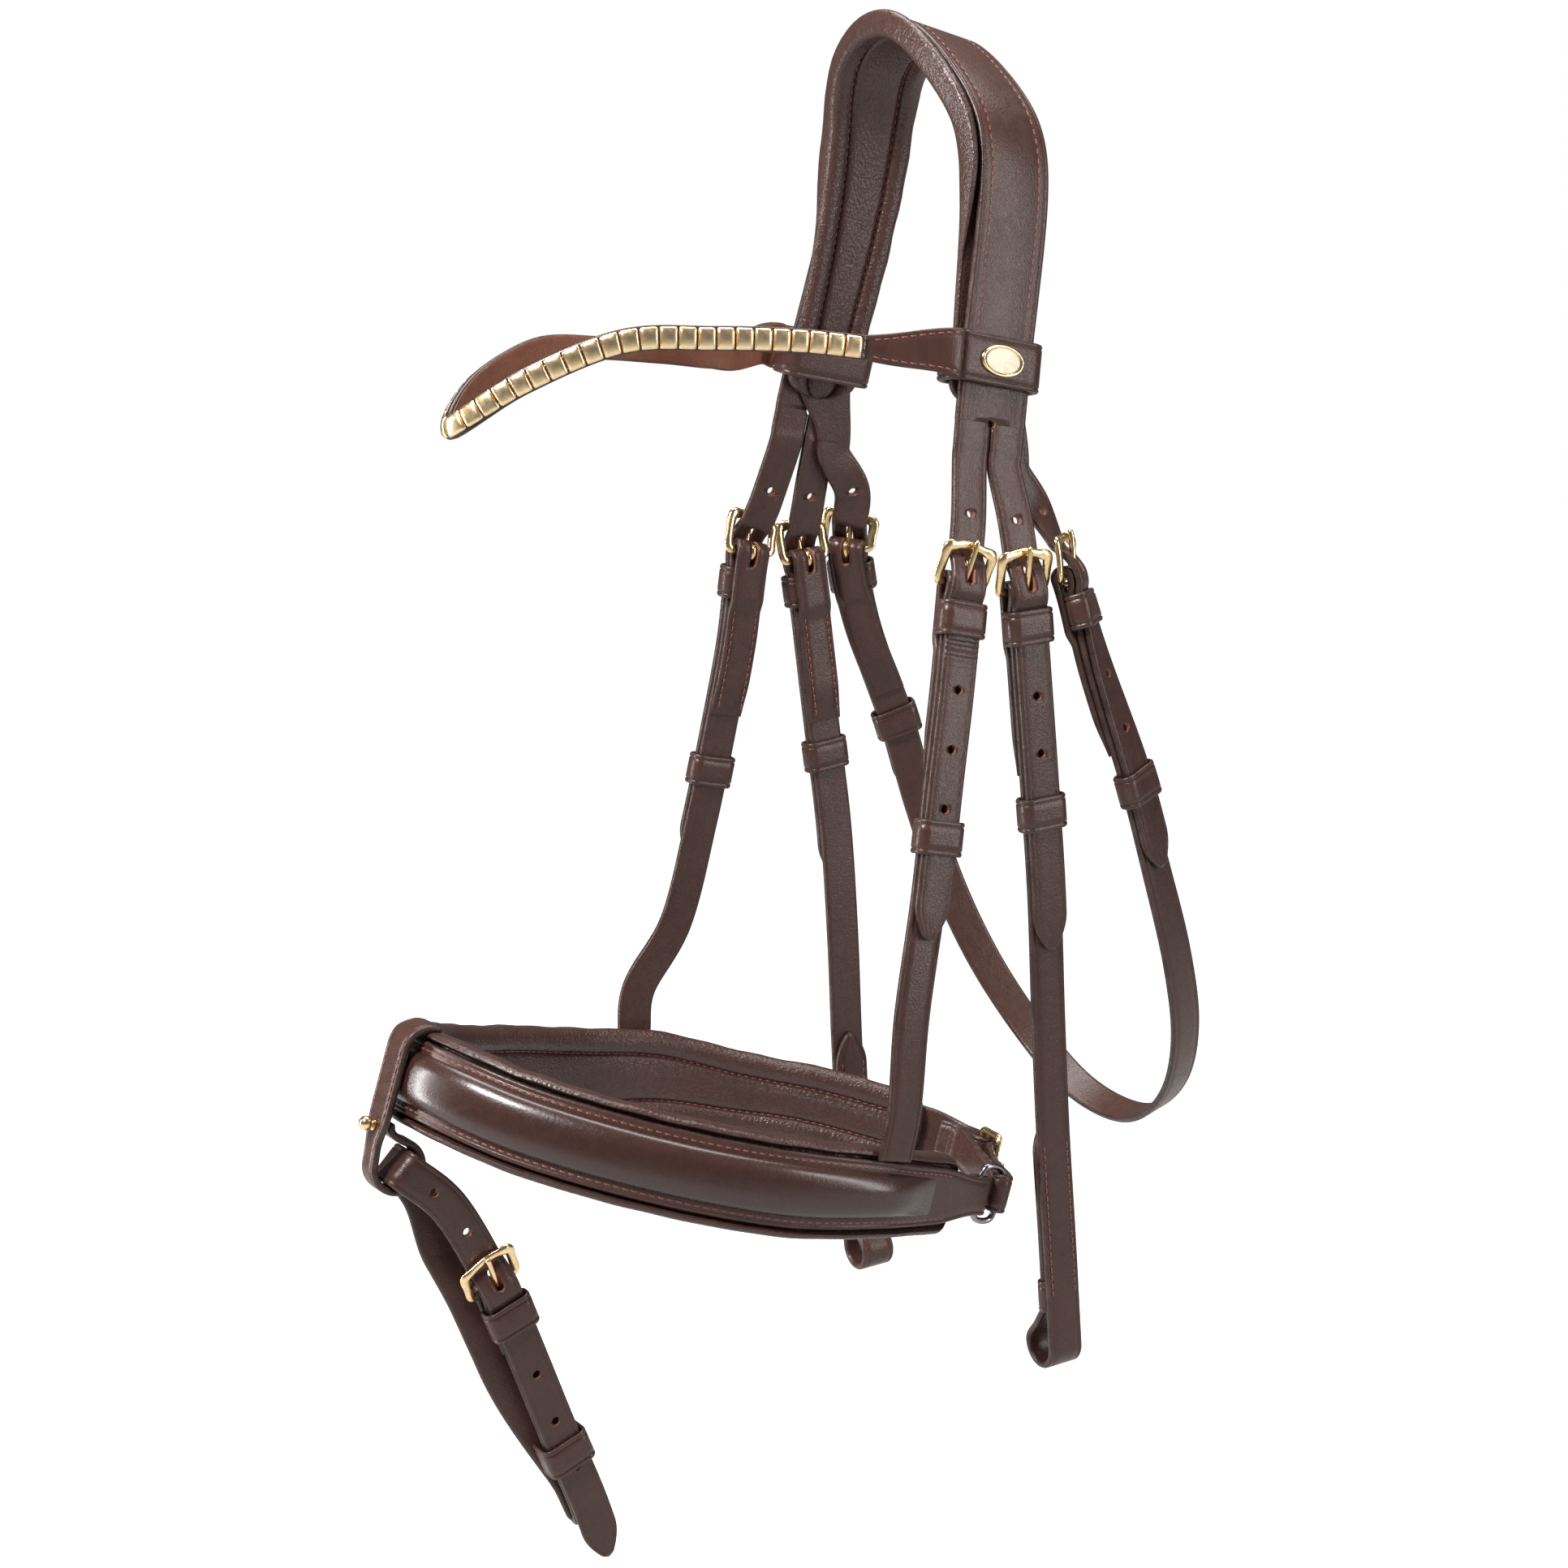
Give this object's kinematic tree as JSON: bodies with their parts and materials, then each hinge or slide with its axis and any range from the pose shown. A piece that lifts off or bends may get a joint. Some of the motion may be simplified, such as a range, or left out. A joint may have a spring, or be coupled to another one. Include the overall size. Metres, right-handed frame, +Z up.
{
  "type": "horse bridle",
  "caption": "Leather horse bridle with a padded headpiece, a browband of gold plates, cheekpieces with bit loops, a throatlatch and a padded noseband with a flash strap.",
  "frame": {"origin": "the underside of the headpiece padding where it rests on the horse's poll", "axes": "+Z up, +X towards the horse's near (left) side, -Y towards its nose"},
  "size_m": [0.1898, 0.3312, 0.5588],
  "materials": {
    "leather": "satin",
    "tan_lining": "matte",
    "padding_leather": "matte",
    "stitched_leather": "satin",
    "brass": "polished",
    "dark_ring": "polished"
  },
  "bodies": {
    "headpiece": {"browband_badge": "brass", "browband_clinchers": "brass", "browband_strap": "tan_lining", "headpiece_inner_strap": "leather", "headpiece_leather": "stitched_leather", "headpiece_padding": "padding_leather", "near_browband_loop": "leather", "off_browband_loop": "leather"},
    "noseband": {"chin_buckle": "brass", "chin_strap": "leather", "flash_stud": "brass", "flash_tab": "leather", "near_hanger_billet": "leather", "near_hanger_buckle": "brass", "near_hanger_keeper": "leather", "near_hanger_strap": "leather", "noseband_band": "stitched_leather", "noseband_end_ring": "dark_ring", "noseband_padding": "padding_leather", "off_hanger_billet": "leather", "off_hanger_buckle": "brass", "off_hanger_keeper": "leather", "off_hanger_strap": "leather"},
    "chin_tongue": {"chin_tongue": "brass"},
    "flash_strap": {"flash_buckle": "brass", "flash_keeper": "leather", "flash_strap": "leather"},
    "flash_runner": {"flash_runner": "leather"},
    "flash_tongue": {"flash_tongue": "brass"},
    "near_cheekpiece": {"near_cheek_billet": "leather", "near_cheek_buckle": "brass", "near_cheek_hook_stud": "brass", "near_cheek_keeper": "leather", "near_cheek_loop_keeper": "leather", "near_cheek_strap": "stitched_leather"},
    "near_cheek_runner": {"near_cheek_runner": "leather"},
    "near_cheek_tongue": {"near_cheek_tongue": "brass"},
    "near_hanger_runner": {"near_hanger_runner": "leather"},
    "near_hanger_tongue": {"near_hanger_tongue": "brass"},
    "throatlatch": {"near_throat_billet": "leather", "near_throat_buckle": "brass", "near_throat_keeper": "leather", "off_throat_billet": "leather", "off_throat_buckle": "brass", "off_throat_keeper": "leather", "throatlatch_strap": "leather"},
    "near_throat_runner": {"near_throat_runner": "leather"},
    "near_throat_tongue": {"near_throat_tongue": "brass"},
    "off_cheekpiece": {"off_cheek_billet": "leather", "off_cheek_buckle": "brass", "off_cheek_hook_stud": "brass", "off_cheek_keeper": "leather", "off_cheek_loop_keeper": "leather", "off_cheek_strap": "stitched_leather"},
    "off_cheek_runner": {"off_cheek_runner": "leather"},
    "off_cheek_tongue": {"off_cheek_tongue": "brass"},
    "off_hanger_runner": {"off_hanger_runner": "leather"},
    "off_hanger_tongue": {"off_hanger_tongue": "brass"},
    "off_throat_runner": {"off_throat_runner": "leather"},
    "off_throat_tongue": {"off_throat_tongue": "brass"}
  },
  "joints": [
    {"name": "near_cheek_swing", "type": "hinge", "parent": "headpiece", "child": "near_cheekpiece", "pos_m": [0.06465, 0.00007, -0.15277], "axis": [0, -1, 0], "range_deg": [0, 30]},
    {"name": "off_cheek_swing", "type": "hinge", "parent": "headpiece", "child": "off_cheekpiece", "pos_m": [-0.06465, 0.00007, -0.15278], "axis": [0, 1, 0], "range_deg": [0, 30]},
    {"name": "noseband_swing", "type": "hinge", "parent": "headpiece", "child": "noseband", "pos_m": [0, -0.01469, -0.15074], "axis": [1, 0, 0], "range_deg": [-6, 0]},
    {"name": "throatlatch_swing", "type": "hinge", "parent": "headpiece", "child": "throatlatch", "pos_m": [0, 0.00528, -0.15385], "axis": [1, 0, 0], "range_deg": [0, 12]},
    {"name": "flash_swing", "type": "hinge", "parent": "noseband", "child": "flash_strap", "pos_m": [0, -0.21057, -0.39371], "axis": [1, 0, 0], "range_deg": [-28, 25]},
    {"name": "near_cheek_tongue_pivot", "type": "hinge", "parent": "near_cheekpiece", "child": "near_cheek_tongue", "pos_m": [0.07387, 0.00185, -0.19587], "axis": [0, 0.9977, 0.0673], "range_deg": [0, 8]},
    {"name": "off_cheek_tongue_pivot", "type": "hinge", "parent": "off_cheekpiece", "child": "off_cheek_tongue", "pos_m": [-0.07387, 0, -0.19587], "axis": [0, -0.9929, -0.1193], "range_deg": [0, 8]},
    {"name": "near_hanger_tongue_pivot", "type": "hinge", "parent": "noseband", "child": "near_hanger_tongue", "pos_m": [0.07364, -0.02414, -0.19265], "axis": [0, 0.9781, -0.2083], "range_deg": [0, 8]},
    {"name": "off_hanger_tongue_pivot", "type": "hinge", "parent": "noseband", "child": "off_hanger_tongue", "pos_m": [-0.07358, -0.02544, -0.19229], "axis": [0.0001, -0.9885, 0.1509], "range_deg": [0, 8]},
    {"name": "near_throat_tongue_pivot", "type": "hinge", "parent": "throatlatch", "child": "near_throat_tongue", "pos_m": [0.07294, 0.02134, -0.19214], "axis": [-0.7061, 0.7078, -0.0216], "range_deg": [0, 8]},
    {"name": "off_throat_tongue_pivot", "type": "hinge", "parent": "throatlatch", "child": "off_throat_tongue", "pos_m": [-0.07308, 0.01847, -0.19264], "axis": [-0.7071, -0.7069, 0.0178], "range_deg": [0, 8]},
    {"name": "chin_tongue_pivot", "type": "hinge", "parent": "noseband", "child": "chin_tongue", "pos_m": [-0.01031, 0.04104, -0.42805], "axis": [0.0955, 0.2725, 0.9574], "range_deg": [0, 8]},
    {"name": "flash_tongue_pivot", "type": "hinge", "parent": "flash_strap", "child": "flash_tongue", "pos_m": [0.00503, -0.17505, -0.44223], "axis": [0, 0.9066, 0.4219], "range_deg": [0, 8]},
    {"name": "near_cheek_runner_slide", "type": "slide", "parent": "near_cheekpiece", "child": "near_cheek_runner", "axis": [0.0031, 0.0973, -0.9953], "range_m": [-0.003, 0.006]},
    {"name": "off_cheek_runner_slide", "type": "slide", "parent": "off_cheekpiece", "child": "off_cheek_runner", "axis": [-0.0031, 0.1504, -0.9886], "range_m": [-0.003, 0.006]},
    {"name": "near_hanger_runner_slide", "type": "slide", "parent": "noseband", "child": "near_hanger_runner", "axis": [0.0901, -0.1728, -0.9808], "range_m": [-0.003, 0.006]},
    {"name": "off_hanger_runner_slide", "type": "slide", "parent": "noseband", "child": "off_hanger_runner", "axis": [-0.0913, -0.1762, -0.9801], "range_m": [-0.003, 0.006]},
    {"name": "near_throat_runner_slide", "type": "slide", "parent": "throatlatch", "child": "near_throat_runner", "axis": [0.0436, 0.317, -0.9474], "range_m": [-0.002, 0.003]},
    {"name": "off_throat_runner_slide", "type": "slide", "parent": "throatlatch", "child": "off_throat_runner", "axis": [-0.0465, 0.3701, -0.9278], "range_m": [-0.002, 0.003]},
    {"name": "flash_runner_slide", "type": "slide", "parent": "flash_strap", "child": "flash_runner", "axis": [-0.0377, 0.3941, -0.9183], "range_m": [-0.003, 0.006]}
  ]
}
